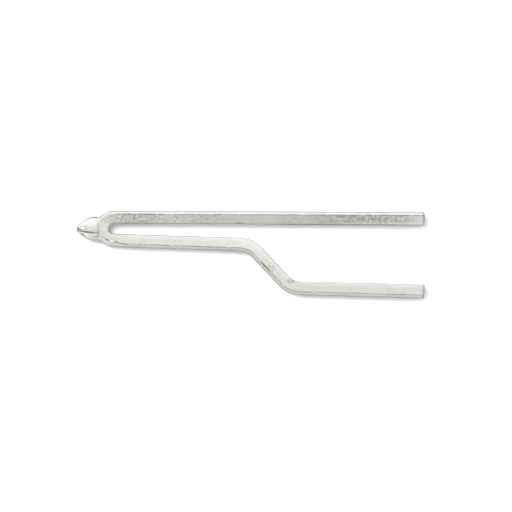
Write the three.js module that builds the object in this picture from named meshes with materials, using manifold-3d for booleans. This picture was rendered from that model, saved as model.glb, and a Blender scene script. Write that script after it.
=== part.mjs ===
// Divot repair tool: one flat bar bent into a hairpin with a straight and an offset prong,
// and a cross-fluted point set on the ground flat of the bend by a tenon pin and braze filler.
// Millimetres. X runs from the point to the prongs' free ends, Y across the prongs, Z up through
// the bar's depth. The tool lies on its side, and the origin is the bottom centre of its box.
import * as THREE from "three";
import { mergeVertices } from "three/addons/utils/BufferGeometryUtils.js";
import Module from "manifold-3d";

const wasm = await Module();
wasm.setup();

// ---- driving dimensions ----

// Bar stock: its depth is along Z, and its thickness varies a little along its length.
const BAR_DEPTH = 5;
const THICKNESS = { straightEnd: 3.52, hairpin: 3.42, offsetEnd: 3.66 };
const EDGE_BEVEL = 0.25; // on every edge
const OUTER_CHAMFER = 0.9; // on the edges outside the hairpin, top and bottom

// The bar's centre line, walked from the free end of the straight prong round to the offset one.
// Angles are in degrees, and a positive turn is to the left.
const START_HEADING = 179.7;
const STRAIGHT_PRONG = { straight: 79.5 };
const HAIRPIN = { turn: 178.44, radius: 2.965 };
const OFFSET_LEAD = { straight: 32.5 };
const FIRST_BEND = { turn: -45.1, radius: 6.1 };
const RAMP = { straight: 10 };
const SECOND_BEND = { turn: 45.5, radius: 6.1 };
const OFFSET_PRONG = { straight: 31.7 };
const TURN_STEP = 7.5; // most degrees of bend between two stations

// The flat that is ground into the outside of the hairpin, as a seat for the point.
const FLAT_CUT = 0.98;

// Cross-fluted point. Its profile is measured from its base.
const POINT_LENGTH = 5.4;
const POINT_RADIUS = 3.175;
const NOSE_RADIUS = 0.72;
const CONE_ANGLE = 36; // degrees, half the included angle
const SHOULDER_RADIUS = 4;
const BASE_BEVEL = 0.1;
const FLUTE_COUNT = 4;
const FLUTE_ROLL = 17; // degrees
const FLUTE_WIDTH = { base: 0.84, tip: 0.45 };
const FLUTE_FLOOR = { base: 2.1, tip: 0.35 }; // distance from the point's axis

// Braze collar: a film between the flat and the point, and a hollow fillet back over the hairpin.
const BRAZE_FILM = 0.3;
const COLLAR_RADIUS = 3.08;
const COLLAR_RUN = 1.2;
const COLLAR_EDGE = 0.1; // how thick the fillet's thin end is above the bar

// Tenon pin: its peened head is let into the end of the slot, and its shank into the point.
const PIN_RADIUS = 0.8;
const PIN_HEAD_RADIUS = 1.05;
const PIN_HEAD_DEPTH = 0.35;
const PIN_IN_POINT = 2.2;
const PIN_INSET = 0.1; // how far the head stays behind the end of the slot

const GAP = 0.05; // between pieces that touch
const ROUND_SEGMENTS = 48;
const ARC_SEGMENTS = 8;

// While it is built, the hairpin's centre is at X 0, Y 0, and Z 0 is the middle of the depth.
const hairpinOutside = HAIRPIN.radius + THICKNESS.hairpin / 2;
const hairpinInside = HAIRPIN.radius - THICKNESS.hairpin / 2;
const flatX = FLAT_CUT - hairpinOutside;
const pointBaseX = flatX - BRAZE_FILM;
const pinHeadX = -hairpinInside - PIN_INSET;

// ---- solids ----

function solidOf(geometry) {
  const bare = geometry.clone();
  bare.deleteAttribute("normal");
  bare.deleteAttribute("uv");
  const merged = mergeVertices(bare);
  return new wasm.Manifold(
    new wasm.Mesh({
      numProp: 3,
      vertProperties: new Float32Array(merged.attributes.position.array),
      triVerts: new Uint32Array(merged.index.array),
    }),
  );
}

function geometryOf(solid) {
  const mesh = solid.getMesh();
  const geometry = new THREE.BufferGeometry();
  geometry.setAttribute("position", new THREE.BufferAttribute(mesh.vertProperties, 3));
  geometry.setIndex(new THREE.BufferAttribute(mesh.triVerts, 1));
  geometry.computeVertexNormals();
  return geometry;
}

// A turned solid. The profile's x is the radius and its y the distance along -X from faceX.
function turned(profile, faceX) {
  const geometry = new THREE.LatheGeometry(profile, ROUND_SEGMENTS);
  return solidOf(geometry.rotateZ(Math.PI / 2).translate(faceX, 0, 0));
}

// An outline in X and Y, extruded through the given depth with a bevel on its edges.
function plate(outline, depth, bevel) {
  const geometry = new THREE.ExtrudeGeometry(new THREE.Shape(outline), {
    depth: depth - 2 * bevel,
    bevelThickness: bevel,
    bevelSize: bevel,
    bevelOffset: -bevel,
    bevelSegments: 1,
  });
  return solidOf(geometry.translate(0, 0, bevel - depth / 2));
}

// ---- bar ----

function lengthOf({ straight, turn, radius }) {
  return straight ?? Math.abs(THREE.MathUtils.degToRad(turn)) * radius;
}

// The sections of the centre line, each with the bar's thickness where it starts and ends.
function sections() {
  const offsetSide = [OFFSET_LEAD, FIRST_BEND, RAMP, SECOND_BEND, OFFSET_PRONG];
  const total = offsetSide.reduce((sum, section) => sum + lengthOf(section), 0);
  let along = 0;
  const thicknessHere = () =>
    THREE.MathUtils.lerp(THICKNESS.hairpin, THICKNESS.offsetEnd, along / total);
  const offsetSections = offsetSide.map((section) => {
    const from = thicknessHere();
    along += lengthOf(section);
    return { ...section, from, to: thicknessHere() };
  });
  return [
    { ...STRAIGHT_PRONG, from: THICKNESS.straightEnd, to: THICKNESS.hairpin },
    { ...HAIRPIN, from: THICKNESS.hairpin, to: THICKNESS.hairpin },
    ...offsetSections,
  ];
}

// The straight prong's free end, found by walking back from the start of the hairpin.
function freeEnd() {
  const heading = THREE.MathUtils.degToRad(START_HEADING);
  return {
    x: HAIRPIN.radius * Math.sin(heading) - STRAIGHT_PRONG.straight * Math.cos(heading),
    y: -HAIRPIN.radius * Math.cos(heading) - STRAIGHT_PRONG.straight * Math.sin(heading),
  };
}

// Stations along the centre line: place, heading and the bar's half thickness there, made larger
// by grow.
function walk(grow) {
  const stations = [];
  let heading = THREE.MathUtils.degToRad(START_HEADING);
  let { x, y } = freeEnd();
  const put = (thickness) => stations.push({ x, y, heading, half: thickness / 2 + grow });
  const forward = (length) => {
    x += length * Math.cos(heading);
    y += length * Math.sin(heading);
  };
  put(THICKNESS.straightEnd);
  for (const { straight, turn, radius, from, to } of sections()) {
    if (straight) {
      forward(straight);
      put(to);
      continue;
    }
    const steps = Math.ceil(Math.abs(turn) / TURN_STEP);
    const turnStep = THREE.MathUtils.degToRad(turn) / steps;
    const chord = 2 * radius * Math.sin(Math.abs(turnStep) / 2);
    for (let i = 1; i <= steps; i++) {
      heading += turnStep / 2;
      forward(chord);
      heading += turnStep / 2;
      put(THREE.MathUtils.lerp(from, to, i / steps));
    }
  }
  return stations;
}

// One edge of the bar as seen from above: side is 1 inside the hairpin and -1 outside it.
function edge(stations, side) {
  return stations.map(({ x, y, heading, half }) => {
    const across = heading + Math.PI / 2;
    return new THREE.Vector2(x + side * half * Math.cos(across), y + side * half * Math.sin(across));
  });
}

// The whole area inside the bar's outer edge. It runs on past the free ends, to leave them square.
function outerRegion(stations) {
  const outside = edge(stations, -1);
  const runOn = (from, to) => to.clone().sub(from).setLength(4 * OUTER_CHAMFER).add(to);
  return [runOn(outside[1], outside[0]), ...outside, runOn(outside.at(-2), outside.at(-1))];
}

// Everything on the point's side of the flat.
function pastTheFlat(grow) {
  const size = 4 * hairpinOutside;
  return solidOf(new THREE.BoxGeometry(size, size, size).translate(flatX - grow - size / 2, 0, 0));
}

// The bar with its flat but no hole, made larger all round by grow.
function groundBar(grow = 0) {
  const stations = walk(grow);
  const depth = BAR_DEPTH + 2 * grow;
  return plate([...edge(stations, 1), ...edge(stations, -1).reverse()], depth, EDGE_BEVEL)
    .intersect(plate(outerRegion(stations), depth, OUTER_CHAMFER))
    .subtract(pastTheFlat(grow));
}

function forkBar() {
  return groundBar().subtract(pinHole());
}

// ---- cross-fluted point ----

// The point as turned, before its flutes are cut.
function pointBlank() {
  const cone = THREE.MathUtils.degToRad(CONE_ANGLE);
  // Where the cone would meet the cylinder, and where the shoulder's arc leaves the cylinder.
  const corner = POINT_LENGTH - (POINT_RADIUS - NOSE_RADIUS) / Math.tan(cone);
  const shoulderStart = corner - SHOULDER_RADIUS * Math.tan(cone / 2);
  const profile = new THREE.Path()
    .moveTo(0, 0)
    .lineTo(POINT_RADIUS - BASE_BEVEL, 0)
    .lineTo(POINT_RADIUS, BASE_BEVEL)
    .lineTo(POINT_RADIUS, shoulderStart)
    .absarc(POINT_RADIUS - SHOULDER_RADIUS, shoulderStart, SHOULDER_RADIUS, 0, cone)
    .lineTo(NOSE_RADIUS, POINT_LENGTH)
    .lineTo(0, POINT_LENGTH);
  return turned(profile.getPoints(ARC_SEGMENTS), pointBaseX);
}

// One flute's cutter: a wedge that narrows and sinks towards the tip, and passes both ends.
function fluteCutter(index) {
  const corner = (along, side) => {
    const width = THREE.MathUtils.lerp(FLUTE_WIDTH.base, FLUTE_WIDTH.tip, along);
    return new THREE.Vector2(-along * POINT_LENGTH, (side * width) / 2);
  };
  const pastBase = -0.5;
  const pastTip = 1.5;
  const outline = [corner(pastBase, -1), corner(pastBase, 1), corner(pastTip, 1), corner(pastTip, -1)];
  const geometry = new THREE.ExtrudeGeometry(new THREE.Shape(outline), {
    depth: 2 * POINT_RADIUS,
    bevelEnabled: false,
  })
    .rotateY(-Math.atan2(FLUTE_FLOOR.base - FLUTE_FLOOR.tip, POINT_LENGTH))
    .translate(pointBaseX, 0, FLUTE_FLOOR.base)
    .rotateX(THREE.MathUtils.degToRad(FLUTE_ROLL) + (index * 2 * Math.PI) / FLUTE_COUNT);
  return solidOf(geometry);
}

function crossPoint() {
  let point = pointBlank();
  for (let i = 0; i < FLUTE_COUNT; i++) {
    point = point.subtract(fluteCutter(i));
  }
  return point.subtract(pinHole());
}

// ---- tenon pin and braze collar ----

const pinLength = pinHeadX - pointBaseX + PIN_IN_POINT;

function tenonPin() {
  const profile = [
    new THREE.Vector2(0, 0),
    new THREE.Vector2(PIN_HEAD_RADIUS, 0),
    new THREE.Vector2(PIN_RADIUS, PIN_HEAD_DEPTH),
    new THREE.Vector2(PIN_RADIUS, pinLength),
    new THREE.Vector2(0, pinLength),
  ];
  return turned(profile, pinHeadX);
}

// The pin's hole, countersunk and open to the slot.
function pinHole() {
  const profile = [
    new THREE.Vector2(0, -hairpinInside),
    new THREE.Vector2(PIN_HEAD_RADIUS + GAP, -hairpinInside),
    new THREE.Vector2(PIN_HEAD_RADIUS + GAP, GAP),
    new THREE.Vector2(PIN_RADIUS + GAP, PIN_HEAD_DEPTH + GAP),
    new THREE.Vector2(PIN_RADIUS + GAP, pinLength + GAP),
    new THREE.Vector2(0, pinLength + GAP),
  ];
  return turned(profile, pinHeadX);
}

// Turned round the pin, and cut away where the bar is.
function brazeCollar() {
  const bore = PIN_RADIUS + GAP;
  const thinEnd = BAR_DEPTH / 2 + GAP + COLLAR_EDGE;
  const profile = new THREE.Path()
    .moveTo(bore, -COLLAR_RUN)
    .lineTo(thinEnd, -COLLAR_RUN)
    .quadraticCurveTo(thinEnd, 0, COLLAR_RADIUS, 0)
    .lineTo(COLLAR_RADIUS, BRAZE_FILM - GAP)
    .lineTo(bore, BRAZE_FILM - GAP)
    .lineTo(bore, -COLLAR_RUN);
  return turned(profile.getPoints(ARC_SEGMENTS), flatX).subtract(groundBar(GAP));
}

// ---- the tool ----

const plating = new THREE.MeshStandardMaterial({ color: 0xc9cbc6, roughness: 0.38, metalness: 1 });
const polished = new THREE.MeshStandardMaterial({ color: 0xd6d7d2, roughness: 0.22, metalness: 1 });
const steel = new THREE.MeshStandardMaterial({ color: 0xb4b6b5, roughness: 0.35, metalness: 1 });
const filler = new THREE.MeshStandardMaterial({ color: 0xa9a391, roughness: 0.5, metalness: 1 });

function piece(name, solid, material) {
  const mesh = new THREE.Mesh(geometryOf(solid), material);
  mesh.name = name;
  return mesh;
}

const tool = new THREE.Group();
tool.add(
  piece("fork_bar", forkBar(), plating),
  piece("cross_point", crossPoint(), polished),
  piece("tenon_pin", tenonPin(), steel),
  piece("braze_collar", brazeCollar(), filler),
);

// The group moves so that the origin is the bottom centre of the whole tool's box.
const box = new THREE.Box3().setFromObject(tool);
const middle = box.getCenter(new THREE.Vector3());
tool.position.set(-middle.x, -middle.y, -box.min.z);

export default tool;
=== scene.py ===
import math

import bpy
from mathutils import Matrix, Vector, noise

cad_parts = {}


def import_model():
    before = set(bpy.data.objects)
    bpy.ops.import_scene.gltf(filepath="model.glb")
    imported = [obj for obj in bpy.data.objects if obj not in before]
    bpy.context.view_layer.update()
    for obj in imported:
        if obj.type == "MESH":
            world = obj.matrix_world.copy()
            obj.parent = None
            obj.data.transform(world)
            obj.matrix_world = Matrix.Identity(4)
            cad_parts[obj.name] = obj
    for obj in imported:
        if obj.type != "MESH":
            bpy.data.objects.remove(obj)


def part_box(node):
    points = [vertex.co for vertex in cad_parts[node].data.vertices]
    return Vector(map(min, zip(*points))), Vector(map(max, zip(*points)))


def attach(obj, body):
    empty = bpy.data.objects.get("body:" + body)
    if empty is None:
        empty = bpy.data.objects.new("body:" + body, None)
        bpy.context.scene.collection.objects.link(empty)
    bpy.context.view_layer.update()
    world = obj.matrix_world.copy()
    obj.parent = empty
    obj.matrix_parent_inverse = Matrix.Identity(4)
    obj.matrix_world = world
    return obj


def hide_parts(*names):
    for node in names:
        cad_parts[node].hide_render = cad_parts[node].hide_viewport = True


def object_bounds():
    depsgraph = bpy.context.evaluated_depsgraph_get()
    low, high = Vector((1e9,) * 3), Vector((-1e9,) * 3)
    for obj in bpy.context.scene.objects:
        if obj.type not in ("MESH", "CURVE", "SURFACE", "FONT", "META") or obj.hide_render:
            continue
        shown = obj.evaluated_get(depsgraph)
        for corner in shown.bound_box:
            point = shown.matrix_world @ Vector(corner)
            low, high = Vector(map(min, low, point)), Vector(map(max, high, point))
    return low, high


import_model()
cad_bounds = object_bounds()

# ---- driving dimensions, in metres and degrees ----

MM = 0.001

# Bar stock, as in the CAD model.
BAR_DEPTH = 5 * MM
THICKNESS_STRAIGHT_END = 3.52 * MM
THICKNESS_HAIRPIN = 3.42 * MM
THICKNESS_OFFSET_END = 3.66 * MM
EDGE_BEVEL = 0.25 * MM
OUTER_CHAMFER = 0.9 * MM

# The centre line, walked from the straight prong's free end. A positive turn is to the left.
START_HEADING = 179.7
STRAIGHT_LENGTH = 79.5 * MM
HAIRPIN_TURN, HAIRPIN_RADIUS = 178.44, 2.965 * MM
LEAD_LENGTH = 32.5 * MM
FIRST_TURN, SECOND_TURN, DOGLEG_RADIUS = -45.1, 45.5, 6.1 * MM
RAMP_LENGTH = 10 * MM
OFFSET_LENGTH = 31.7 * MM
FLAT_CUT = 0.98 * MM

# Cross-fluted point, pin and braze. The flutes' roll changes a little along the point.
POINT_LENGTH = 5.4 * MM
POINT_RADIUS = 3.175 * MM
NOSE_RADIUS = 0.72 * MM
CONE_ANGLE = 36
SHOULDER_RADIUS = 4 * MM
FLUTE_COUNT = 4
FLUTE_ROLL_TIP, FLUTE_ROLL_BASE = 18, 16
FLUTE_WIDTH_BASE, FLUTE_WIDTH_TIP = 0.84 * MM, 0.45 * MM
FLUTE_FLOOR_BASE, FLUTE_FLOOR_TIP = 2.1 * MM, 0.35 * MM
BRAZE_FILM = 0.3 * MM
COLLAR_RADIUS = 3.08 * MM
COLLAR_RUN = 1.2 * MM
PIN_RADIUS = 0.8 * MM
PIN_HEAD_RADIUS = 1.05 * MM
PIN_HEAD_DEPTH = 0.35 * MM
PIN_IN_POINT = 2.2 * MM
PIN_INSET = 0.1 * MM
PIN_DOME = 0.12 * MM
GAP = 0.05 * MM

# Fineness of the meshes, and the angle in degrees past which an edge is shaded crisp.
STRAIGHT_STEP = 0.2 * MM
TURN_STEP = 3
CORNER_STEPS = 4
ROUND_STEPS = 128
DOME_STEPS = 5
FILLET_STEPS = 24
CRISP_ANGLE = 40

# The camera's view: the width it covers, and where it looks from the middle of the object's box.
VIEW_WIDTH = 130.3 * MM
VIEW_OFFSET = Vector((1.43, -0.37, 0)) * MM
CAMERA_HEIGHT = 0.75

point_low, point_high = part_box("cross_point")
axis_y = (point_low.y + point_high.y) / 2
axis_z = (point_low.z + point_high.z) / 2
point_base_x = point_high.x
flat_x = point_base_x + BRAZE_FILM
hairpin_outside = HAIRPIN_RADIUS + THICKNESS_HAIRPIN / 2
hairpin_inside = HAIRPIN_RADIUS - THICKNESS_HAIRPIN / 2
hairpin_x = flat_x + hairpin_outside - FLAT_CUT
pin_head_x = hairpin_x - hairpin_inside - PIN_INSET
pin_length = pin_head_x - point_base_x + PIN_IN_POINT


# ---- helpers for meshes ----


def lerp(a, b, t):
    return a + (b - a) * t


def smooth(t):
    """A smooth step from 0 to 1 as t goes from 0 to 1."""
    t = min(1, max(0, t))
    return t * t * (3 - 2 * t)


def step(value, start, end):
    """A smooth step from 0 at start to 1 at end, which may be the lower of the two."""
    return smooth((value - start) / (end - start))


def within(value, start, full, past, end):
    """1 from full to past, falling smoothly to 0 at start and at end."""
    return step(value, start, full) * step(value, end, past)


def wander(place, size, seed):
    """Smooth noise from -1 to 1 whose lumps are about the given size."""
    return noise.noise(place / size + Vector((seed, 2 * seed, 3 * seed)))


def rounded_outline(corners, rounding, spans):
    """A closed outline of 2-D points. Corner i is rounded over rounding[i], and the side that
    follows it is divided into spans[i]."""
    count = len(corners)
    points = []
    for i, corner in enumerate(corners):
        after = corners[(i + 1) % count]
        back = (corners[i - 1] - corner).normalized() * rounding[i]
        ahead = (after - corner).normalized() * rounding[i]
        for n in range(CORNER_STEPS + 1):
            t = n / CORNER_STEPS
            points.append(corner + back * (1 - t) ** 2 + ahead * t**2)
        start = points[-1]
        end = after + (corner - after).normalized() * rounding[(i + 1) % count]
        points.extend(lerp(start, end, k / spans[i]) for k in range(1, spans[i]))
    return points


def lofted(name, rings, attributes=(), looped=False):
    """A closed mesh through rings of equal length. The two end rings are capped, or joined if it is
    looped. attributes holds (name, one value for each point)."""
    size = len(rings[0])
    last = (len(rings) - 1) * size
    faces = [] if looped else [tuple(reversed(range(size)))]
    for first in range(0, last + size if looped else last, size):
        following = 0 if first == last else first + size
        for k in range(size):
            turned = (k + 1) % size
            faces.append((first + k, first + turned, following + turned, following + k))
    if not looped:
        faces.append(tuple(range(last, last + size)))
    mesh = bpy.data.meshes.new(name)
    mesh.from_pydata([point for ring in rings for point in ring], [], faces)
    for label, values in attributes:
        mesh.attributes.new(label, "FLOAT", "POINT").data.foreach_set("value", values)
    mesh.shade_smooth()
    piece = bpy.data.objects.new(name, mesh)
    bpy.context.scene.collection.objects.link(piece)
    return piece


def turned_rings(profile, face_x):
    """Rings of a turned solid, whose faces look outward. The profile holds (radius, distance along
    -X from face_x)."""
    rings = []
    for radius, along in profile:
        ring = []
        for k in range(ROUND_STEPS):
            angle = -2 * math.pi * k / ROUND_STEPS
            y = axis_y + radius * math.cos(angle)
            z = axis_z + radius * math.sin(angle)
            ring.append(Vector((face_x - along, y, z)))
        rings.append(ring)
    return rings


def cut(piece, cutter, keep_cutter=False):
    """Takes the cutter's volume out of the piece, and keeps the rim of the cut crisp."""
    change = piece.modifiers.new("cut", "BOOLEAN")
    change.operation = "DIFFERENCE"
    change.solver = "EXACT"
    change.object = cutter
    graph = bpy.context.evaluated_depsgraph_get()
    mesh = bpy.data.meshes.new_from_object(piece.evaluated_get(graph), depsgraph=graph)
    piece.modifiers.clear()
    piece.data = mesh
    mesh.name = piece.name
    mesh.set_sharp_from_angle(angle=math.radians(CRISP_ANGLE))
    if not keep_cutter:
        bpy.data.objects.remove(cutter)


def finish_piece(piece, material, node):
    """Gives the piece its material, and puts it in the CAD node's place."""
    piece.data.materials.clear()
    piece.data.materials.append(material)
    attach(piece, "root")
    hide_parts(node)


# ---- tenon pin ----


def pin_shank(grow):
    """The pin beyond its head, as (radius, distance from the head's face)."""
    return [
        (PIN_RADIUS + grow, PIN_HEAD_DEPTH + grow),
        (PIN_RADIUS + grow, pin_length + grow),
    ]


def tenon_pin():
    """A headed pin with a low dome on its head."""
    dome = []
    for k in range(1, DOME_STEPS + 1):
        angle = math.pi / 2 * k / DOME_STEPS
        dome.append((PIN_HEAD_RADIUS * math.sin(angle), -PIN_DOME * math.cos(angle)))
    return lofted("peened_pin", turned_rings(dome + pin_shank(0), pin_head_x))


def pin_hole():
    """A cutter for the pin and the gap round it, open towards the slot."""
    radius = PIN_HEAD_RADIUS + GAP
    profile = [(radius, -hairpin_inside), (radius, GAP)] + pin_shank(GAP)
    return lofted("pin_hole", turned_rings(profile, pin_head_x))


# ---- bar ----


def turn_length(turn, radius):
    return math.radians(abs(turn)) * radius


HAIRPIN_LENGTH = turn_length(HAIRPIN_TURN, HAIRPIN_RADIUS)
SECTIONS = [
    (STRAIGHT_LENGTH, 0),
    (HAIRPIN_LENGTH, HAIRPIN_TURN),
    (LEAD_LENGTH, 0),
    (turn_length(FIRST_TURN, DOGLEG_RADIUS), FIRST_TURN),
    (RAMP_LENGTH, 0),
    (turn_length(SECOND_TURN, DOGLEG_RADIUS), SECOND_TURN),
    (OFFSET_LENGTH, 0),
]
BAR_LENGTH = sum(length for length, turn in SECTIONS)
HAIRPIN_END = STRAIGHT_LENGTH + HAIRPIN_LENGTH
DOGLEG_END = BAR_LENGTH - OFFSET_LENGTH


def half_thickness(along):
    if along < STRAIGHT_LENGTH:
        return lerp(THICKNESS_STRAIGHT_END, THICKNESS_HAIRPIN, along / STRAIGHT_LENGTH) / 2
    t = max(0, along - HAIRPIN_END) / (BAR_LENGTH - HAIRPIN_END)
    return lerp(THICKNESS_HAIRPIN, THICKNESS_OFFSET_END, t) / 2


def centre_line():
    """Stations along the bar: its place, its heading in radians, and the distance walked."""
    heading = math.radians(START_HEADING)
    x = hairpin_x + HAIRPIN_RADIUS * math.sin(heading) - STRAIGHT_LENGTH * math.cos(heading)
    y = axis_y - HAIRPIN_RADIUS * math.cos(heading) - STRAIGHT_LENGTH * math.sin(heading)
    place = Vector((x, y, axis_z))
    along = 0
    stations = [(place, heading, along)]
    for length, turn in SECTIONS:
        steps = math.ceil(abs(turn) / TURN_STEP if turn else length / STRAIGHT_STEP)
        turn_step = math.radians(turn) / steps
        stride = length / steps
        # A bend's chord is a little shorter than its arc.
        chord = stride * math.sin(turn_step / 2) / (turn_step / 2) if turn else stride
        for _ in range(steps):
            heading += turn_step / 2
            place = place + chord * Vector((math.cos(heading), math.sin(heading), 0))
            heading += turn_step / 2
            along += stride
            stations.append((place, heading, along))
    return stations


END_ROUNDING = 0.25 * MM
END_STEPS = 5

# How wide the bands of painted shade are: the dark line on the arris, the outlines outside and inside
# the fork, and the free ends.
ARRIS_WIDTH = 0.06 * MM
OUTLINE_WIDTH = 0.5 * MM
INLINE_WIDTH = 0.12 * MM
SHADED_END, SHADED_END_GAIN = 0.9 * MM, 0.75

# The bevel inside the fork is painted darker, as shade, on the straight prong beyond the slot, and
# on the offset prong as far as the dogleg's end: how dark before and after, and between which
# distances it changes.
STRAIGHT_INLINE = (0.6, 0.04, 34 * MM, 44 * MM)
OFFSET_INLINE = (0.5, 0.1, DOGLEG_END - 4 * MM, DOGLEG_END)

# The painted dark line on the arris, which stands in for a dark reflection, is fainter in the bend's
# first half and past the dogleg: by how much, and over what length that sets in and ends. Beside the
# filler it is gone, and it comes back between the two distances of FILLER_FADE from the flat.
BEND_LINE_FADING, BEND_FADE, MIDDLE_FADE = 0.85, 2 * MM, 1 * MM
DOGLEG_LINE_FADING, DOGLEG_FADE = 0.25, 6 * MM
FILLER_FADE = (0.3 * COLLAR_RUN, 1.3 * COLLAR_RUN)

# The forged skin: how high its broad and fine relief is and how large their lumps are, how much
# the chamfer's width wavers, and the stretches of the bar where it is roughest, as the distances
# where each starts, is full, begins to fade and ends.
BROAD_RELIEF, BROAD_LUMP = 0.012 * MM, 4 * MM
FINE_RELIEF, FINE_LUMP = 0.011 * MM, 0.7 * MM
BROAD_WAVER, BROAD_WAVE = 0.045, 3.5 * MM
FINE_WAVER, FINE_WAVE = 0.07, 0.9 * MM
ROUGH_STRETCHES = [
    (3 * MM, 6 * MM, 18 * MM, 26 * MM),
    (50 * MM, 58 * MM, 78 * MM, 82 * MM),
]
LEAST_MOTTLING = 0.15

# Marks on the bar: place from the row's origin, half length, half width, depth and direction.
NICK = (Vector((-2.8, 7.9, 5.6)) * MM, 0.95 * MM, 0.24 * MM, 0.08 * MM, -0.3)
RAMP_WEAR = (Vector((3.9, -3.0, 5.5)) * MM, 1.5 * MM, 0.2 * MM, 0.03 * MM, -47)
BEND_DENT_A = (Vector((9.7, -6.4, 5.6)) * MM, 0.5 * MM, 0.3 * MM, 0.08 * MM, -30)
BEND_DENT_B = (Vector((10.9, -7.2, 5.6)) * MM, 0.6 * MM, 0.25 * MM, 0.06 * MM, -10)
MARKS = [NICK, RAMP_WEAR, BEND_DENT_A, BEND_DENT_B]
SCUFF = Vector((10.5, -6.8, 5.6)) * MM
STAIN = Vector((5.3, -3.1, 5.6)) * MM

# Painted highlights on the hairpin's arris, with dark dashes between them: how far along the bar,
# half length, and how much brighter or, below 0, darker.
GLINTS_AND_DASHES = [
    (87.3 * MM, 0.7 * MM, -0.45),
    (88.6 * MM, 0.8 * MM, 0.5),
    (89.9 * MM, 0.8 * MM, -0.5),
]
GLINTS_AND_DASHES_WIDTH = 0.2 * MM


def mark_depth(place):
    """How deep the marks go at a place on the bar's surface."""
    depth = 0
    for centre, half_length, half_width, deepest, direction in MARKS:
        offset = place - centre
        if offset.length_squared > (2 * half_length) ** 2:
            continue
        angle = math.radians(direction)
        lengthwise = offset.x * math.cos(angle) + offset.y * math.sin(angle)
        crosswise = offset.y * math.cos(angle) - offset.x * math.sin(angle)
        reach = (lengthwise / half_length) ** 2 + (crosswise / half_width) ** 2
        reach += (offset.z / (4 * half_width)) ** 2
        depth = max(depth, deepest * smooth(1 - reach / 2))
    return depth


def inline_gain(along):
    """How much painted shade darkens the bevel inside the fork, from 0 to 1."""
    first, last, start, end = OFFSET_INLINE if along > HAIRPIN_END else STRAIGHT_INLINE
    return lerp(first, last, step(along, start, end))


def glint_and_dash_gain(along):
    """How much brighter, or darker, the painted highlights and dashes make the arris."""
    return sum(gain * smooth(1 - abs(along - middle) / half) for middle, half, gain in GLINTS_AND_DASHES)


def arris_line_strength(along, spot):
    """How dark the painted line on the chamfer's arris is, standing in for a dark reflection: it fades
    by the filler and in the bend's first half, and a little past the dogleg."""
    clear_of_filler = step(spot.x - flat_x, *FILLER_FADE)
    bend, middle = STRAIGHT_LENGTH, STRAIGHT_LENGTH + HAIRPIN_LENGTH / 2
    in_bend = within(along, bend - BEND_FADE, bend, middle - MIDDLE_FADE, middle)
    past_dogleg = step(along, DOGLEG_END, DOGLEG_END + DOGLEG_FADE)
    faded = BEND_LINE_FADING * in_bend + DOGLEG_LINE_FADING * past_dogleg
    return clear_of_filler * (1 - faded)


def mottling(along):
    """How rough the forged skin is, from 0 to 1: the straight prong's two ends are roughest."""
    return lerp(LEAST_MOTTLING, 1, max(within(along, *stretch) for stretch in ROUGH_STRETCHES))


# The hairpin's outside is ground in a little beside the point: how far along X it starts, is
# deepest and ends, and how deep it is.
BLEND_START, BLEND_DEEPEST, BLEND_END = 0.2 * MM, 1.2 * MM, 3.6 * MM
BLEND_DEPTH = 0.24 * MM

# The chamfer is wider where the hairpin ends.
WIDE_STRETCH, WIDE_GAIN = (85 * MM, 87 * MM, 88.9 * MM, 91.8 * MM), 0.6


def blend_to_point(spot):
    """Draws the hairpin's outside in beside the point."""
    run = spot.x - flat_x
    if run < BLEND_END:
        share = within(run, BLEND_START, BLEND_DEEPEST, BLEND_DEEPEST, BLEND_END)
        spot.y = axis_y + (spot.y - axis_y) * (1 - BLEND_DEPTH / hairpin_outside * share)


def chamfer_width(along, place):
    waver = BROAD_WAVER * wander(place, BROAD_WAVE, 1)
    waver += FINE_WAVER * mottling(along) * wander(place, FINE_WAVE, 2)
    return OUTER_CHAMFER * (1 + waver + WIDE_GAIN * within(along, *WIDE_STRETCH))


def bar_corners(along, place, shrink):
    """The bar's section as (across, up): across is positive inside the hairpin."""
    half = half_thickness(along) - shrink
    up = BAR_DEPTH / 2 - shrink
    chamfer = chamfer_width(along, place)
    return [
        Vector((-half, up - chamfer)),
        Vector((-half + chamfer, up)),
        Vector((half - EDGE_BEVEL, up)),
        Vector((half, up - EDGE_BEVEL)),
        Vector((half, -up + EDGE_BEVEL)),
        Vector((half - EDGE_BEVEL, -up)),
        Vector((-half + chamfer, -up)),
        Vector((-half, -up + chamfer)),
    ]


CORNER_ROUNDING = [0.4 * MM, 0.05 * MM] + 4 * [0.1 * MM] + [0.05 * MM, 0.4 * MM]
SIDE_SPANS = [4, 12, 2, 8, 2, 12, 4, 6]
OUTER_CORNER, INNER_CORNER = 0, 3
ARRISES = (1, 6)


def end_shrinks():
    """Pairs of a distance from the bar's end and how far the section is drawn in there."""
    pairs = []
    for k in range(END_STEPS + 1):
        angle = math.pi / 2 * k / END_STEPS
        pairs.append((END_ROUNDING * (1 - math.cos(angle)), END_ROUNDING * (1 - math.sin(angle))))
    return pairs


def bar_stations():
    """Stations with the section's shrink at each, close together where the ends are rounded."""
    stations = [(*station, 0) for station in centre_line()]
    start, end = [], []
    for distance, shrink in end_shrinks():
        for station, stride, store in ((stations[0], distance, start), (stations[-1], -distance, end)):
            place, heading, along, _ = station
            moved = place + stride * Vector((math.cos(heading), math.sin(heading), 0))
            store.append((moved, heading, along + stride, shrink))
    inner = [station for station in stations if END_ROUNDING < station[2] < BAR_LENGTH - END_ROUNDING]
    return start + inner + end[::-1]


def forged(spot, outward, along):
    """Moves a place on the bar's surface by the skin's relief, the marks and the grinding."""
    relief = BROAD_RELIEF * wander(spot, BROAD_LUMP, 3)
    relief += FINE_RELIEF * mottling(along) * wander(spot, FINE_LUMP, 4)
    spot += outward * (relief - mark_depth(spot))
    spot.x = max(spot.x, flat_x)
    blend_to_point(spot)


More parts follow.
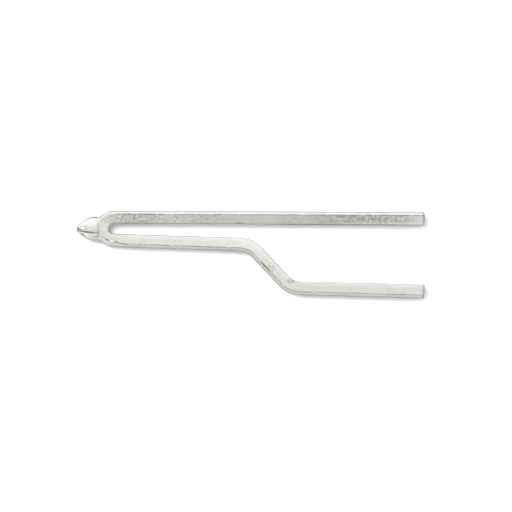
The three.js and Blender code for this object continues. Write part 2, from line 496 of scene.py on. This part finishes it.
def bar_shading(along, spot, point, corners):
    """What the bar's material reads at one point of the section, each mostly from 0 to 1."""
    low, high = corners[OUTER_CORNER], corners[INNER_CORNER]
    arris = corners[ARRISES[0]]
    nearest = min((point - corners[k]).length for k in ARRISES)
    gain = glint_and_dash_gain(along)
    # crisp is how dark the painted dark line on the arris is here; it fades under the painted
    # highlights.
    crisp = arris_line_strength(along, spot) * (1 - min(1, 3 * max(0, gain)))
    # Painted shade: the outside edge, the bevel inside the fork and the free ends are darkened.
    outline = smooth((low.x + OUTLINE_WIDTH - point.x) / OUTLINE_WIDTH)
    inline = smooth((point.x + EDGE_BEVEL - high.x) / INLINE_WIDTH)
    inline *= smooth((abs(point.y) + INLINE_WIDTH - high.y) / INLINE_WIDTH)
    end = SHADED_END_GAIN * smooth(1 - min(along, BAR_LENGTH - along) / SHADED_END)
    return {
        "arris": crisp * math.exp(-((nearest / ARRIS_WIDTH) ** 2)),
        "along": along / BAR_LENGTH,
        "rim": smooth((arris.x - point.x) / ARRIS_WIDTH),
        "edge": max(outline, inline_gain(along) * inline, end),
        "inward": (point.x - arris.x) / (high.x - arris.x),
        "arris_glints_and_dashes": gain * math.exp(-((nearest / GLINTS_AND_DASHES_WIDTH) ** 2)),
    }


def fork_bar():
    rings, shading = [], []
    for place, heading, along, shrink in bar_stations():
        across = Vector((-math.sin(heading), math.cos(heading), 0))
        corners = bar_corners(along, place, shrink)
        ring = []
        for point in rounded_outline(corners, CORNER_ROUNDING, SIDE_SPANS):
            out = across * point.x + Vector((0, 0, point.y))
            spot = place + out
            forged(spot, out.normalized(), along)
            ring.append(spot)
            shading.append(bar_shading(along, spot, point, corners))
        rings.append(ring)
    attributes = [(name, [values[name] for values in shading]) for name in shading[0]]
    piece = lofted("bent_bar", rings, attributes)
    cut(piece, pin_hole())
    return piece


# ---- cross-fluted point ----

LIP_LENGTH = 2.6 * MM
LIP_WIDE, LIP_NARROW = 0.34 * MM, 0.12 * MM
POINT_STEP = 0.07 * MM
TIP_ROUNDING = 0.12 * MM
BASE_BEVEL = 0.04 * MM
FLUTE_ROUNDING = 0.07 * MM
LOBE_SPANS = 20
# The painted shade in the flutes fades in over this distance from the tip.
FLUTE_SHADE_START = 1.2 * MM
SWELL, SWELL_LUMP = 0.004, 1.5 * MM

# Near the tip a flute keeps to these shares: its floor's radius of the point's, half its width of
# its floor's radius, its lip's sine, and how much of a lobe's half angle a lip takes up.
MOST_FLOOR, MOST_WIDTH, MOST_SINE, MOST_LIP = 0.8, 0.9, 0.95, 0.85


def point_radius(from_tip):
    """The point's radius before fluting, at a distance from its tip."""
    cone = math.radians(CONE_ANGLE)
    corner = (POINT_RADIUS - NOSE_RADIUS) / math.tan(cone)
    tangent = SHOULDER_RADIUS * math.tan(cone / 2)
    if from_tip < corner - tangent * math.cos(cone):
        radius = NOSE_RADIUS + from_tip * math.tan(cone)
    elif from_tip < corner + tangent:
        back = corner + tangent - from_tip
        radius = POINT_RADIUS - SHOULDER_RADIUS + math.sqrt(SHOULDER_RADIUS**2 - back**2)
    else:
        radius = POINT_RADIUS
    if from_tip < TIP_ROUNDING:
        radius -= TIP_ROUNDING - math.sqrt(TIP_ROUNDING**2 - (TIP_ROUNDING - from_tip) ** 2)
    return radius - max(0, BASE_BEVEL - (POINT_LENGTH - from_tip))


def lobe_and_flute(radius, from_tip, angle):
    """The outline from the middle of one flute's floor to the middle of the next one's, as pairs of
    (y, z) and how much painted shade darkens it, from 0 to 1. The lips flare towards the tip."""
    t = from_tip / POINT_LENGTH
    floor = min(lerp(FLUTE_FLOOR_TIP, FLUTE_FLOOR_BASE, t), MOST_FLOOR * radius)
    half = min(lerp(FLUTE_WIDTH_TIP, FLUTE_WIDTH_BASE, t) / 2, MOST_WIDTH * floor)
    flare = smooth(1 - from_tip / LIP_LENGTH) * radius / POINT_RADIUS * 2
    rounding, slight = FLUTE_ROUNDING, 0.3 * FLUTE_ROUNDING
    points = []

    def put(along, aside, turn, flute_shade):
        x = along * math.cos(turn) - aside * math.sin(turn)
        y = along * math.sin(turn) + aside * math.cos(turn)
        points.append((Vector((x, y)), flute_shade))

    def lip_angle(flared):
        most = math.pi / FLUTE_COUNT * MOST_LIP
        return min(math.asin(min(MOST_SINE, (half + flared * flare) / radius)), most)

    following = angle + 2 * math.pi / FLUTE_COUNT
    start, end = angle + lip_angle(LIP_NARROW), following - lip_angle(LIP_WIDE)
    put(floor, 0, angle, 1)
    put(floor, half - rounding, angle, 0.8)
    put(floor + slight, half - slight, angle, 0.3)
    put(floor + rounding, half, angle, 0.3)
    put(radius - rounding, 0, start, 0.9)
    for k in range(LOBE_SPANS + 1):
        put(radius, 0, lerp(start, end, (k + 0.6) / (LOBE_SPANS + 1.2)), 0)
    put(radius - rounding, 0, end, 0.3)
    put(floor + rounding, -half, following, 1)
    put(floor + slight, -half + slight, following, 1)
    put(floor, -half + rounding, following, 1)
    return points


def point_distances():
    """Where the point's rings are, from its tip: close together round the tip's edge."""
    steps = math.ceil(POINT_LENGTH / POINT_STEP)
    length = POINT_LENGTH - BASE_BEVEL
    tip = [TIP_ROUNDING * (1 - math.cos(math.pi / 2 * k / END_STEPS)) for k in range(END_STEPS)]
    body = [lerp(TIP_ROUNDING, length, k / steps) for k in range(steps + 1)]
    return tip + body + [POINT_LENGTH - BASE_BEVEL / 2, POINT_LENGTH]


def cross_point():
    rings, flute_shades, asides, from_tips = [], [], [], []
    for from_tip in point_distances():
        radius = point_radius(from_tip)
        share = from_tip / POINT_LENGTH
        roll = lerp(FLUTE_ROLL_TIP, FLUTE_ROLL_BASE, share)
        ring = []
        for flute in range(FLUTE_COUNT):
            # The first flute is on top, rolled a little towards -Y.
            angle = math.pi / 2 + math.radians(roll) + 2 * math.pi * flute / FLUTE_COUNT
            for point, flute_shade in lobe_and_flute(radius, from_tip, angle):
                place = Vector((point_low.x + from_tip, axis_y + point.x, axis_z + point.y))
                swell = 1 + SWELL * wander(place, SWELL_LUMP, 5)
                place.y = axis_y + point.x * swell
                place.z = max(0, axis_z + point.y * swell)
                ring.append(place)
                flute_shades.append(flute_shade * smooth(from_tip / FLUTE_SHADE_START))
                asides.append(point.x / radius)
                from_tips.append(share)
        rings.append(ring)
    attributes = [("flute_shade", flute_shades), ("aside", asides), ("from_tip", from_tips)]
    piece = lofted("fluted_point", rings, attributes)
    cut(piece, pin_hole())
    return piece


# ---- braze collar ----

# The fillet's thin end stands a little above the bar's faces.
THIN_END = BAR_DEPTH / 2 + 0.02 * MM
THIN_END_DEPTH = 0.1 * MM

# How far past the flat, towards the point, the fillet ends and the film begins. The film is flush
# with the point's base.
FILLET_END, FILM_START = 0.06 * MM, 0.12 * MM
FILM_RADIUS = POINT_RADIUS - BASE_BEVEL

# The seam that the material darkens: how far it is from the flat, and how wide.
SEAM_PLACE, SEAM_WIDTH = 0.12 * MM, 0.14 * MM

# Ripples in the filler: outward and along X.
SWELLING, SWELLING_LUMP = 0.025 * MM, 0.8 * MM
DRIFTING, DRIFTING_LUMP = 0.05 * MM, 1.1 * MM


def collar_profile():
    """The collar as (radius, distance past the flat towards the point), from its bore at the thin
    end to its bore at the point. The bore is a little wider than the bar's pin hole, so that the
    two walls never coincide."""
    bore = PIN_RADIUS + 1.5 * GAP
    film_end = BRAZE_FILM - GAP
    profile = [(bore, -COLLAR_RUN), (THIN_END - THIN_END_DEPTH, -COLLAR_RUN)]
    for k in range(FILLET_STEPS + 1):
        t = k / FILLET_STEPS
        profile.append((lerp(THIN_END, COLLAR_RADIUS, smooth(t)), -COLLAR_RUN * (1 - t)))
    profile += [(COLLAR_RADIUS, FILLET_END), (FILM_RADIUS, FILM_START)]
    return profile + [(FILM_RADIUS, film_end), (bore, film_end)]


def braze_collar(bar):
    """A film between the flat and the point, and a hollow fillet over the hairpin's faces."""
    profile = collar_profile()
    rings = turned_rings(profile, flat_x)
    asides = [(place.y - axis_y) / POINT_RADIUS for ring in rings for place in ring]
    seams = []
    for _, along in profile:
        seams += ROUND_STEPS * [math.exp(-(((along + SEAM_PLACE) / SEAM_WIDTH) ** 2))]
    # The ripples leave the bore's two rings and their neighbours alone.
    for ring in rings[2:-2]:
        for place in ring:
            outward = Vector((0, place.y - axis_y, place.z - axis_z)).normalized()
            place += outward * SWELLING * wander(place, SWELLING_LUMP, 6)
            place.x += DRIFTING * wander(place, DRIFTING_LUMP, 7)
            place.x = max(place.x, point_base_x + GAP / 2)
            place.z = max(0, place.z)
    piece = lofted("braze_fillet", rings, [("aside", asides), ("seam", seams)], looped=True)
    cut(piece, bar, keep_cutter=True)
    return piece


# ---- materials ----


def add(tree, kind, inputs=None, **settings):
    """A shader node with its settings, and its inputs as values or as other nodes' outputs."""
    made = tree.nodes.new(kind)
    for key, value in settings.items():
        setattr(made, key, value)
    for key, value in (inputs or {}).items():
        if isinstance(value, bpy.types.NodeSocket):
            tree.links.new(value, made.inputs[key])
        else:
            made.inputs[key].default_value = value
    return made


def ramp(tree, factor, stops, interpolation="LINEAR"):
    """A grey ramp through (position, value) stops."""
    made = add(tree, "ShaderNodeValToRGB", {"Fac": factor})
    made.color_ramp.interpolation = interpolation
    elements = made.color_ramp.elements
    elements.remove(elements[1])
    elements[0].position = stops[0][0]
    for position, _ in stops[1:]:
        elements.new(position)
    for element, (_, value) in zip(elements, stops):
        element.color = (value, value, value, 1)
    return made.outputs["Color"]


def maths(tree, operation, a, b=0.0, c=0.0, clamp=False):
    made = add(tree, "ShaderNodeMath", {0: a, 1: b, 2: c}, operation=operation, use_clamp=clamp)
    return made.outputs["Value"]


def plus(tree, *values):
    total = values[0]
    for value in values[1:]:
        total = maths(tree, "ADD", total, value)
    return total


def times(tree, *values):
    product = values[0]
    for value in values[1:]:
        product = maths(tree, "MULTIPLY", product, value)
    return product


def spread(tree, cloud, *shares):
    """A cloud made to vary round 0, times the shares."""
    return times(tree, maths(tree, "SUBTRACT", cloud, 0.5), *shares)


def darkened(tree, tone, share):
    """A tone with a share of it taken away."""
    return times(tree, tone, maths(tree, "SUBTRACT", 1.0, share))


def mixed(tree, factor, a, b):
    inputs = {"Factor": factor, "A": a, "B": b}
    return add(tree, "ShaderNodeMix", inputs, data_type="FLOAT").outputs["Result"]


def clouds(tree, vector, scale, detail=4.0, roughness=0.55, stretch=None):
    """Fractal noise at a place, with the scale in lumps to the metre."""
    if stretch:
        vector = add(tree, "ShaderNodeVectorMath", {0: vector, 1: stretch}, operation="MULTIPLY")
        vector = vector.outputs["Vector"]
    inputs = {"Vector": vector, "Scale": scale, "Detail": detail, "Roughness": roughness}
    return add(tree, "ShaderNodeTexNoise", inputs).outputs["Fac"]


def tinted(tree, tone, tint):
    """A tone made into a slightly tinted grey."""
    made = add(tree, "ShaderNodeMix", {"Factor": 1.0}, data_type="RGBA", blend_type="MULTIPLY")
    tree.links.new(tone, made.inputs["A"])
    made.inputs["B"].default_value = (*tint, 1)
    return made.outputs["Result"]


def metal(name):
    """A new material with an empty metal shader, and its object coordinates."""
    material = bpy.data.materials.new(name)
    material.use_nodes = True
    tree = material.node_tree
    shader = tree.nodes["Principled BSDF"]
    shader.inputs["Metallic"].default_value = 1
    place = add(tree, "ShaderNodeTexCoord").outputs["Object"]
    return material, tree, shader, place


def grained(tree, grain, least, more):
    """A value that goes from least to least + more with the grain."""
    return plus(tree, times(tree, grain, more), least)


def roughened(tree, shader, grain, limits):
    tree.links.new(grained(tree, grain, *limits), shader.inputs["Roughness"])


def bump(tree, shader, height, size):
    distance, strength = size
    inputs = {"Height": height, "Distance": distance, "Strength": strength}
    made = add(tree, "ShaderNodeBump", inputs)
    tree.links.new(made.outputs["Normal"], shader.inputs["Normal"])


def attribute(tree, name):
    return add(tree, "ShaderNodeAttribute", attribute_name=name).outputs["Fac"]


def near(tree, place, centre, radii):
    """1 at a place in the row frame, falling to 0 at the radii's distance."""
    shares = [1 / radius for radius in radii]
    offset = add(tree, "ShaderNodeVectorMath", {0: place, 1: centre}, operation="SUBTRACT")
    inputs = {0: offset.outputs["Vector"], 1: shares}
    scaled = add(tree, "ShaderNodeVectorMath", inputs, operation="MULTIPLY")
    length = add(tree, "ShaderNodeVectorMath", {0: scaled.outputs["Vector"]}, operation="LENGTH")
    return maths(tree, "SUBTRACT", 1.0, length.outputs["Value"], clamp=True)


def along_bar(tree, stops, interpolation="LINEAR"):
    """A value that changes along the bar, through stops of (mm walked, value)."""
    shares = [(walked * MM / BAR_LENGTH, value) for walked, value in stops]
    return ramp(tree, attribute(tree, "along"), shares, interpolation)


def across_bar(tree, stops):
    """A value that changes from the chamfer's arris, at 0, to the face inside the fork, at 1."""
    return ramp(tree, attribute(tree, "inward"), stops)


# The scales of the clouds, in lumps to the metre.
BAR_LUMPS, BAR_SCRATCHES, BAR_BROAD, BAR_DASHES, BAR_BLOTCHES = 1600, 1500, 160, 650, 1100
POINT_GRIND, POINT_LUMPS = 2600, 700
BRAZE_RIPPLES, BRAZE_LUMPS = 1800, 800
PIN_DIMPLES, PIN_LUMPS = 2600, 900

# Each metal's tone and roughness, as the least and how much more there is with the grain, and its
# bumps' height and strength.
BAR_ROUGHNESS, BAR_BUMP = (0.22, 0.24), (0.03 * MM, 0.6)
POINT_TONE, POINT_ROUGHNESS, POINT_BUMP = (0.6, 0.2), (0.14, 0.2), (0.02 * MM, 0.5)
BRAZE_TONE, BRAZE_ROUGHNESS, BRAZE_BUMP = (0.58, 0.24), (0.3, 0.2), (0.03 * MM, 0.5)
PIN_TONE, PIN_ROUGHNESS, PIN_BUMP = (0.42, 0.25), (0.3, 0.3), (0.05 * MM, 0.6)
SMOOTH_SKIN_GAIN, SCRATCH_GAIN, GRIND_GAIN = 0.15, 0.12, 0.4

# The plating's tint, and the brown of bare steel.
SILVER = (0.99, 1.0, 0.955)
BROWN = (0.19, 0.165, 0.09)

# How bright the bar's faces are along it, with painted light and shade: the straight prong is painted
# darker and the rest brighter, for how each stretch catches the light. Its chamfer and outside take a
# painted sheen, brighter where they face the light, and its sides inside the fork are painted bright
# where they face each other across the slot, to lift the shade there.
FACE_TONES = [
    (0, 0.6), (1.5, 0.56), (3, 0.5), (5, 0.405), (22, 0.39), (30, 0.48), (60, 0.475), (76, 0.42),
    (79, 0.49), (82, 0.6), (84, 0.67), (110, 0.69), (122, 0.75), (130, 0.67), (145, 0.63), (172, 0.635),
]
CHAMFER_SHEEN_TONES = [(60, 0.63), (72, 0.58), (80, 0.58), (84, 0.6), (89, 0.5)]
SIDE_TONES = [(36, 0.36), (46, 0.97), (118, 0.97), (128, 0.36)]
SIDE_ONLY = [(0.97, 0), (1, 1)]

# Speckles: how strong they are along and across the bar.
SPECKLED_ALONG = [
    (2, 0.1), (6, 1), (20, 0.9), (28, 0.3), (50, 0.25), (62, 0.8), (78, 1), (84, 0.25), (125, 0.15),
    (172, 0.22),
]
SPECKLED_ACROSS = [(0.4, 1), (0.95, 0.45)]
SPECKLE_STEPS = [(0.34, 0), (0.47, 0.5), (0.62, 1)]
SPECKLE_GAIN, DRIFT_GAIN, CHAMFER_SHEEN_DRIFT = 0.4, 0.16, 0.2

# Painted highlights, as brighter bands inside the arris: on the offset prong, and by the straight
# prong's end.
SHEEN_ALONG, SHEEN_ACROSS = [(86, 0), (92, 1)], [(0.5, 0), (1, 0.12)]
STRIP_ALONG, STRIP_ACROSS = [(0, 0.4), (4, 1), (18, 0.8), (26, 0)], [(0.68, 0), (0.76, 0.14)]

# The painted dark line on the arris, standing in for a dark reflection, is broken into dashes, and
# the outlines are painted darker, as shade.
DASH_STEPS, LINE_GAIN, EDGE_GAIN = [(0.38, 0.3), (0.52, 1)], 0.85, 0.74

# Patches of wear: how far each reaches, how lumps break it up, and how strong it is.
SCUFF_REACH, SCUFF_STEPS = (1.7 * MM, 0.9 * MM, 1 * MM), [(0.4, 1), (0.6, 0.3)]
NICK_REACH, NICK_SHARE, DULL_GAIN = (1.6 * MM, 0.5 * MM, 1 * MM), 0.35, 0.5
WORN_REACH, WORN_GAIN = (2.1 * MM, 2.1 * MM, 1.5 * MM), 5.0
STAIN_REACH, STAIN_STEPS, STAIN_GAIN = (1.3 * MM, 1.5 * MM, 1.5 * MM), [(0.4, 0.1), (0.6, 1)], 0.6


def bar_tone(tree, place, lumps, skin):
    """How bright the bar is, with painted light and shade in it. Skin is how strongly it is speckled.
    """
    broad = clouds(tree, place, BAR_BROAD, detail=3)
    speckled = spread(tree, ramp(tree, lumps, SPECKLE_STEPS), skin, SPECKLE_GAIN)
    # Painted highlights across the faces.
    sheen_bands = times(tree, across_bar(tree, SHEEN_ACROSS), along_bar(tree, SHEEN_ALONG))
    strip = times(tree, across_bar(tree, STRIP_ACROSS), along_bar(tree, STRIP_ALONG))
    face = plus(tree, along_bar(tree, FACE_TONES, "EASE"), sheen_bands, strip)
    face = plus(tree, face, speckled, spread(tree, broad, DRIFT_GAIN))
    # Dull patches: the nick, and a scuff on the second bend.
    scuff = times(tree, near(tree, place, SCUFF, SCUFF_REACH), ramp(tree, lumps, SCUFF_STEPS))
    nick = times(tree, near(tree, place, NICK[0], NICK_REACH), NICK_SHARE)
    dull = times(tree, maths(tree, "MAXIMUM", scuff, nick), DULL_GAIN)
    face = maths(tree, "SUBTRACT", face, dull)
    # Painted sheen on the chamfer and outside.
    chamfer_sheen = plus(tree, spread(tree, broad, CHAMFER_SHEEN_DRIFT), along_bar(tree, CHAMFER_SHEEN_TONES))
    tone = mixed(tree, attribute(tree, "rim"), face, chamfer_sheen)
    # The sides inside the fork are painted bright across the slot, to lift the shade there.
    tone = mixed(tree, across_bar(tree, SIDE_ONLY), tone, along_bar(tree, SIDE_TONES))
    # The painted dark line on the arris, standing in for a dark reflection, broken into dashes.
    dashes = ramp(tree, clouds(tree, place, BAR_DASHES, detail=3), DASH_STEPS)
    tone = darkened(tree, tone, times(tree, attribute(tree, "arris"), dashes, LINE_GAIN))
    # Painted highlights, with dark dashes between them, on the hairpin's arris.
    tone = times(tree, tone, plus(tree, attribute(tree, "arris_glints_and_dashes"), 1.0))
    # Painted shade on the outlines and the free ends.
    return darkened(tree, tone, times(tree, attribute(tree, "edge"), EDGE_GAIN))


def browned(tree, place, colour):
    """On the ramp the plating is worn through: dark along the arris, and faintly brown beside it."""
    patch = near(tree, place, RAMP_WEAR[0], WORN_REACH)
    line = maths(tree, "MULTIPLY", times(tree, patch, attribute(tree, "arris")), WORN_GAIN, clamp=True)
    blotches = ramp(tree, clouds(tree, place, BAR_BLOTCHES), STAIN_STEPS)
    stain = times(tree, near(tree, place, STAIN, STAIN_REACH), blotches, STAIN_GAIN)
    made = add(tree, "ShaderNodeMix", {"Factor": maths(tree, "MAXIMUM", line, stain)}, data_type="RGBA")
    tree.links.new(colour, made.inputs["A"])
    made.inputs["B"].default_value = (*BROWN, 1)
    return made.outputs["Result"]


def bar_material():
    """Plating over a forged skin, speckled on the straight prong, with painted light and shade: the
    straight prong painted darker, the rest brighter.
    """
    material, tree, shader, place = metal("bar_plating")
    lumps = clouds(tree, place, BAR_LUMPS, detail=5, roughness=0.66, stretch=(0.75, 1, 1))
    scratches = clouds(tree, place, BAR_SCRATCHES, detail=2, stretch=(0.06, 1, 1))
    skin = times(tree, along_bar(tree, SPECKLED_ALONG), across_bar(tree, SPECKLED_ACROSS))
    colour = tinted(tree, bar_tone(tree, place, lumps, skin), SILVER)
    tree.links.new(browned(tree, place, colour), shader.inputs["Base Color"])
    roughened(tree, shader, lumps, BAR_ROUGHNESS)
    rough_skin = times(tree, lumps, plus(tree, skin, SMOOTH_SKIN_GAIN))
    height = plus(tree, rough_skin, times(tree, scratches, SCRATCH_GAIN))
    bump(tree, shader, height, BAR_BUMP)
    return material


# How bright a round piece is across its width, from its -Y side to its +Y side, as painted light
# and shade, and how dark the seam is there.
POINT_SIDES = [(0, 0.2), (0.12, 0.55), (0.23, 1.25), (0.36, 1.25), (0.5, 0.93), (0.82, 1.1), (0.9, 0.7)]
COLLAR_SIDES = [(0.02, 0.4), (0.1, 0.68), (0.2, 0.78), (0.3, 1), (0.7, 1), (0.84, 1.12), (0.98, 0.9)]
SEAM_SIDES = [(0.1, 0.06), (0.34, 0.1), (0.43, 0.4), (0.7, 0.42), (0.84, 0)]

# How bright a round piece is by its height, as a share of the point's diameter, painted darker below
# as shade, and how bright the point is from its tip to its base.
BELOW = [(0.1, 0.45), (0.44, 0.55), (0.56, 1)]
TIP_TO_BASE = [(0, 0.5), (0.12, 0.72), (0.35, 0.84), (0.6, 1)]
FLUTE_SHADE_GAIN = 0.24

# A painted highlight runs back from the tip, the lip below the top flute is darker, and painted
# shade darkens the top flute's mouth on the collar. Each has its place, its reach, and its brightness
# from outside to inside.
TIP_HIGHLIGHT_PLACE = Vector((point_low.x + 1.48 * MM, axis_y + 0.18 * MM, axis_z + 1.5 * MM))
TIP_HIGHLIGHT = (TIP_HIGHLIGHT_PLACE, (1.15 * MM, 0.42 * MM, 2 * MM), [(0.1, 1), (0.5, 1.7)])
LIP_PLACE = Vector((point_low.x + 1.7 * MM, axis_y - 1.4 * MM, axis_z + 1.0 * MM))
LIP_DARKENING = (LIP_PLACE, (1.2 * MM, 0.7 * MM, 2 * MM), [(0.1, 1), (0.6, 0.5)])
MOUTH_PLACE = Vector((point_base_x + 0.15 * MM, axis_y - 0.9 * MM, axis_z + 2.9 * MM))
FLUTE_MOUTH = (MOUTH_PLACE, (0.45 * MM, 0.6 * MM, 1.5 * MM), [(0.05, 1), (0.5, 0.58)])


def round_sides(tree, stops):
    share = maths(tree, "MULTIPLY_ADD", attribute(tree, "aside"), 0.5, 0.5)
    return ramp(tree, share, stops)


def shaded_below(tree, place):
    """1 above the level of the point's axis, and painted darker below it, as shade."""
    height = add(tree, "ShaderNodeSeparateXYZ", {0: place}).outputs["Z"]
    return ramp(tree, maths(tree, "DIVIDE", height, 2 * POINT_RADIUS), BELOW)


def patched(tree, place, patch):
    centre, reach, stops = patch
    return ramp(tree, near(tree, place, centre, reach), stops)


def point_material():
    """Bright plating, ground round the axis, with painted shade in the flutes and painted light and
    shade across it.
    """
    material, tree, shader, place = metal("point_plating")
    grind = clouds(tree, place, POINT_GRIND, detail=2, stretch=(1, 0.12, 0.12))
    lumps = clouds(tree, place, POINT_LUMPS, detail=4)
    tone = grained(tree, lumps, *POINT_TONE)
    # Painted light and shade across the point and below its axis.
    tone = times(tree, tone, round_sides(tree, POINT_SIDES), shaded_below(tree, place))
    # Painted shade in the flutes.
    tone = darkened(tree, tone, times(tree, attribute(tree, "flute_shade"), FLUTE_SHADE_GAIN))
    tone = times(tree, tone, ramp(tree, attribute(tree, "from_tip"), TIP_TO_BASE))
    # A painted highlight from the tip, and the darker lip below the top flute.
    tone = times(tree, tone, patched(tree, place, TIP_HIGHLIGHT), patched(tree, place, LIP_DARKENING))
    tree.links.new(tinted(tree, tone, SILVER), shader.inputs["Base Color"])
    roughened(tree, shader, lumps, POINT_ROUGHNESS)
    bump(tree, shader, plus(tree, times(tree, grind, GRIND_GAIN), lumps), POINT_BUMP)
    return material


def braze_material():
    """Filler that has flowed and frozen in fine ripples, under the plating."""
    material, tree, shader, place = metal("braze_filler")
    ripples = clouds(tree, place, BRAZE_RIPPLES, detail=3, stretch=(2.2, 0.5, 0.5))
    lumps = clouds(tree, place, BRAZE_LUMPS, detail=3)
    tone = grained(tree, lumps, *BRAZE_TONE)
    # Painted light and shade across the collar and below the axis.
    tone = times(tree, tone, round_sides(tree, COLLAR_SIDES), shaded_below(tree, place))
    tone = darkened(tree, tone, times(tree, attribute(tree, "seam"), round_sides(tree, SEAM_SIDES)))
    # Painted shade at the top flute's mouth.
    tone = times(tree, tone, patched(tree, place, FLUTE_MOUTH))
    tree.links.new(tinted(tree, tone, SILVER), shader.inputs["Base Color"])
    roughened(tree, shader, ripples, BRAZE_ROUGHNESS)
    bump(tree, shader, ripples, BRAZE_BUMP)
    return material


def pin_material():
    """Peened steel, dull and covered in small hammer marks."""
    material, tree, shader, place = metal("pin_steel")
    inputs = {"Vector": place, "Scale": PIN_DIMPLES}
    dimples = add(tree, "ShaderNodeTexVoronoi", inputs).outputs["Distance"]
    lumps = clouds(tree, place, PIN_LUMPS, detail=4)
    tone = grained(tree, lumps, *PIN_TONE)
    tree.links.new(tinted(tree, tone, SILVER), shader.inputs["Base Color"])
    roughened(tree, shader, dimples, PIN_ROUGHNESS)
    bump(tree, shader, dimples, PIN_BUMP)
    return material


# ---- the object ----

bent_bar = fork_bar()
collar = braze_collar(bent_bar)
finish_piece(bent_bar, bar_material(), "fork_bar")
finish_piece(cross_point(), point_material(), "cross_point")
finish_piece(tenon_pin(), pin_material(), "tenon_pin")
finish_piece(collar, braze_material(), "braze_collar")


# ---- floor, light and camera ----

FLOOR_SIZE, FLOOR_TONE = 3, 0.92

# The sky is a little stronger from +Y and from above, as a share of its strength.
SKY_TO_Y, SKY_TO_Z = 0.25, 0.12

KEY_PLACE = Vector((-0.2, 0.18, 0.75))
KEY_SIZE, KEY_POWER = 0.31, 6.4


def studio_floor():
    mesh = bpy.data.meshes.new("floor")
    half = FLOOR_SIZE / 2
    corners = [(-half, -half, 0), (half, -half, 0), (half, half, 0), (-half, half, 0)]
    mesh.from_pydata(corners, [], [(0, 1, 2, 3)])
    plane = bpy.data.objects.new("floor", mesh)
    bpy.context.scene.collection.objects.link(plane)
    material = bpy.data.materials.new("floor")
    material.use_nodes = True
    shader = material.node_tree.nodes["Principled BSDF"]
    shader.inputs["Base Color"].default_value = (FLOOR_TONE, FLOOR_TONE, FLOOR_TONE, 1)
    shader.inputs["Roughness"].default_value = 0.9
    shader.inputs["Specular IOR Level"].default_value = 0.1
    mesh.materials.append(material)


def world():
    """Soft light from all round."""
    made = bpy.data.worlds.new("studio")
    bpy.context.scene.world = made
    made.use_nodes = True
    tree = made.node_tree
    direction = add(tree, "ShaderNodeTexCoord").outputs["Generated"]
    parts = add(tree, "ShaderNodeSeparateXYZ", {0: direction})
    side = maths(tree, "MULTIPLY_ADD", parts.outputs["Y"], SKY_TO_Y, 1.0)
    strength = maths(tree, "MULTIPLY_ADD", parts.outputs["Z"], SKY_TO_Z, side)
    background = tree.nodes["Background"]
    background.inputs["Color"].default_value = (1, 1, 1, 1)
    tree.links.new(strength, background.inputs["Strength"])


def key_light():
    """A soft overhead light, a little towards +Y and -X, that reflections don't show."""
    data = bpy.data.lights.new("key", "AREA")
    data.shape = "DISK"
    data.size = KEY_SIZE
    data.energy = KEY_POWER
    light = bpy.data.objects.new("key", data)
    light.location = KEY_PLACE
    light.rotation_euler = (-KEY_PLACE).to_track_quat("-Z", "Y").to_euler()
    light.visible_glossy = False
    bpy.context.scene.collection.objects.link(light)


def camera():
    """Looks straight down, with +X to the right."""
    low, high = (Vector(corner) for corner in cad_bounds)
    data = bpy.data.cameras.new("camera")
    data.sensor_fit = "HORIZONTAL"
    data.angle = 2 * math.atan(VIEW_WIDTH / 2 / (CAMERA_HEIGHT - high.z))
    data.clip_start = 0.01
    made = bpy.data.objects.new("camera", data)
    middle = (low + high) / 2 + VIEW_OFFSET
    made.location = (middle.x, middle.y, CAMERA_HEIGHT)
    bpy.context.scene.collection.objects.link(made)
    bpy.context.scene.camera = made


studio_floor()
world()
key_light()
camera()
bpy.context.scene.view_settings.view_transform = "Standard"
